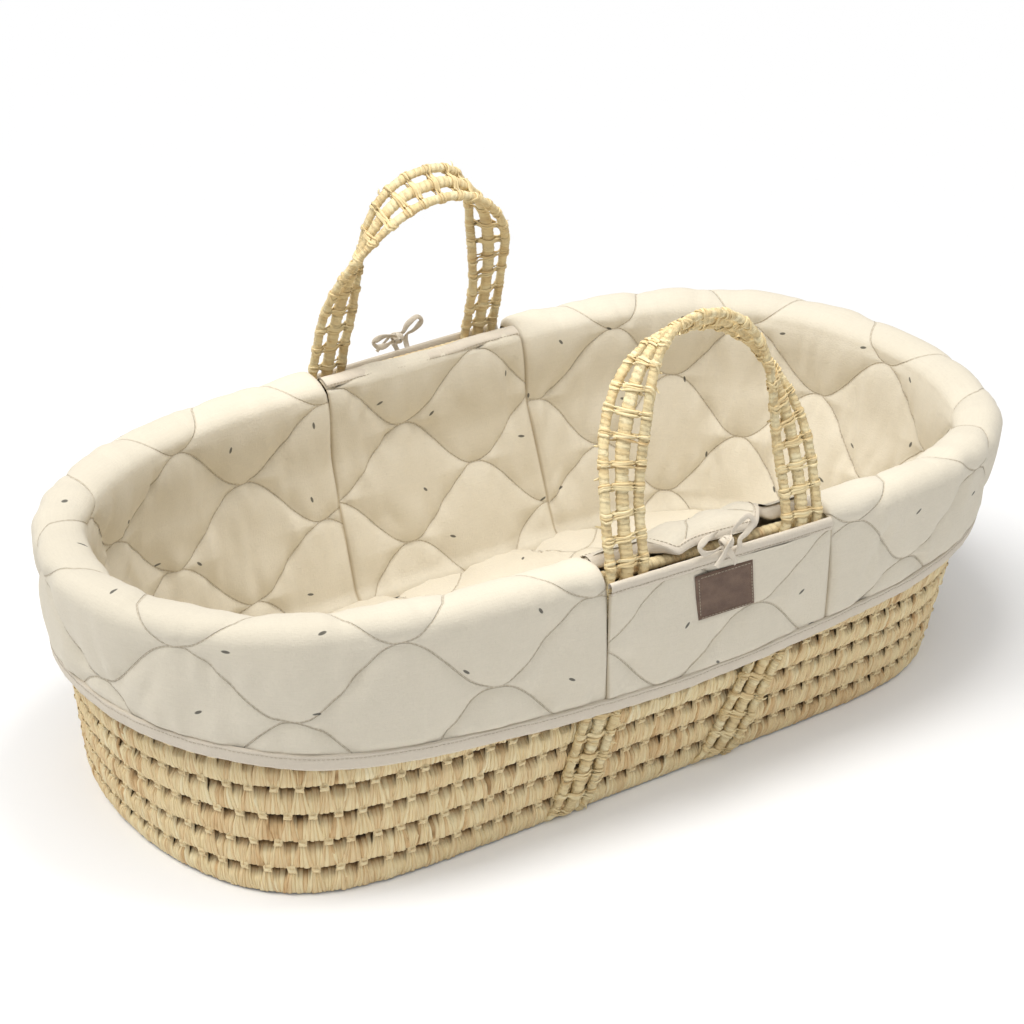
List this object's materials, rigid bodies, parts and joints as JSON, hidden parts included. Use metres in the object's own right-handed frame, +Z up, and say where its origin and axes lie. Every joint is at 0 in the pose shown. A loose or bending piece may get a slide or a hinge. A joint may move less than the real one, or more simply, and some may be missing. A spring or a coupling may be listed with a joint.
{
  "type": "moses basket",
  "caption": "Oval plaited palm baby basket with a quilted cotton liner folded over the rim, an elasticated skirt, tie bows and hinged open-work carrying handles.",
  "frame": {"origin": "centre of the underside, where the basket stands", "axes": "+X along the length towards the slightly wider end, +Y from the near handle's side to the far handle's side, +Z up"},
  "size_m": [0.868, 0.4962, 0.412],
  "materials": {
    "palm_leaf": "dry plaited palm leaf, slightly satin",
    "palm_handle": "wrapped palm leaf cord, slightly satin",
    "quilted_cotton": "matt oatmeal cotton, quilted",
    "cotton_tape": "matt cotton binding tape",
    "elastic": "woven elastic",
    "leather": "matt brown leather-look patch"
  },
  "bodies": {
    "basket": {"floor_panel": "palm_leaf", "wall_row_01": "palm_leaf", "wall_row_02": "palm_leaf", "wall_row_03": "palm_leaf", "wall_row_04": "palm_leaf", "wall_row_05": "palm_leaf", "wall_row_06": "palm_leaf", "wall_row_07": "palm_leaf", "wall_row_08": "palm_leaf", "wall_row_09": "palm_leaf", "rim_rope": "palm_leaf", "strap_left": "palm_handle", "strap_right": "palm_handle", "liner_base": "quilted_cotton", "liner_left_end": "quilted_cotton", "liner_right_end": "quilted_cotton", "hem_binding": "cotton_tape", "hem_elastic": "elastic", "liner_near_inner": "quilted_cotton", "liner_near_flap": "quilted_cotton", "binding_near_inner": "cotton_tape", "binding_near_flap": "cotton_tape", "tie_near_inner": "cotton_tape", "tie_near_outer": "cotton_tape", "liner_far_inner": "quilted_cotton", "liner_far_flap": "quilted_cotton", "binding_far_inner": "cotton_tape", "binding_far_flap": "cotton_tape", "tie_far_inner": "cotton_tape", "tie_far_outer": "cotton_tape", "label_patch": "leather"},
    "near_handle": {"handle_near": "palm_handle"},
    "far_handle": {"handle_far": "palm_handle"}
  },
  "joints": [
    {"name": "near_handle_hinge", "type": "hinge", "parent": "basket", "child": "near_handle", "pos_m": [0.01494, -0.22535, 0.23145], "axis": [0.9987, -0.0467, -0.0213], "range_deg": [-28, 110]},
    {"name": "far_handle_hinge", "type": "hinge", "parent": "basket", "child": "far_handle", "pos_m": [0.01494, 0.22535, 0.23145], "axis": [-0.9987, -0.0467, 0.0213], "range_deg": [-28, 110]}
  ]
}
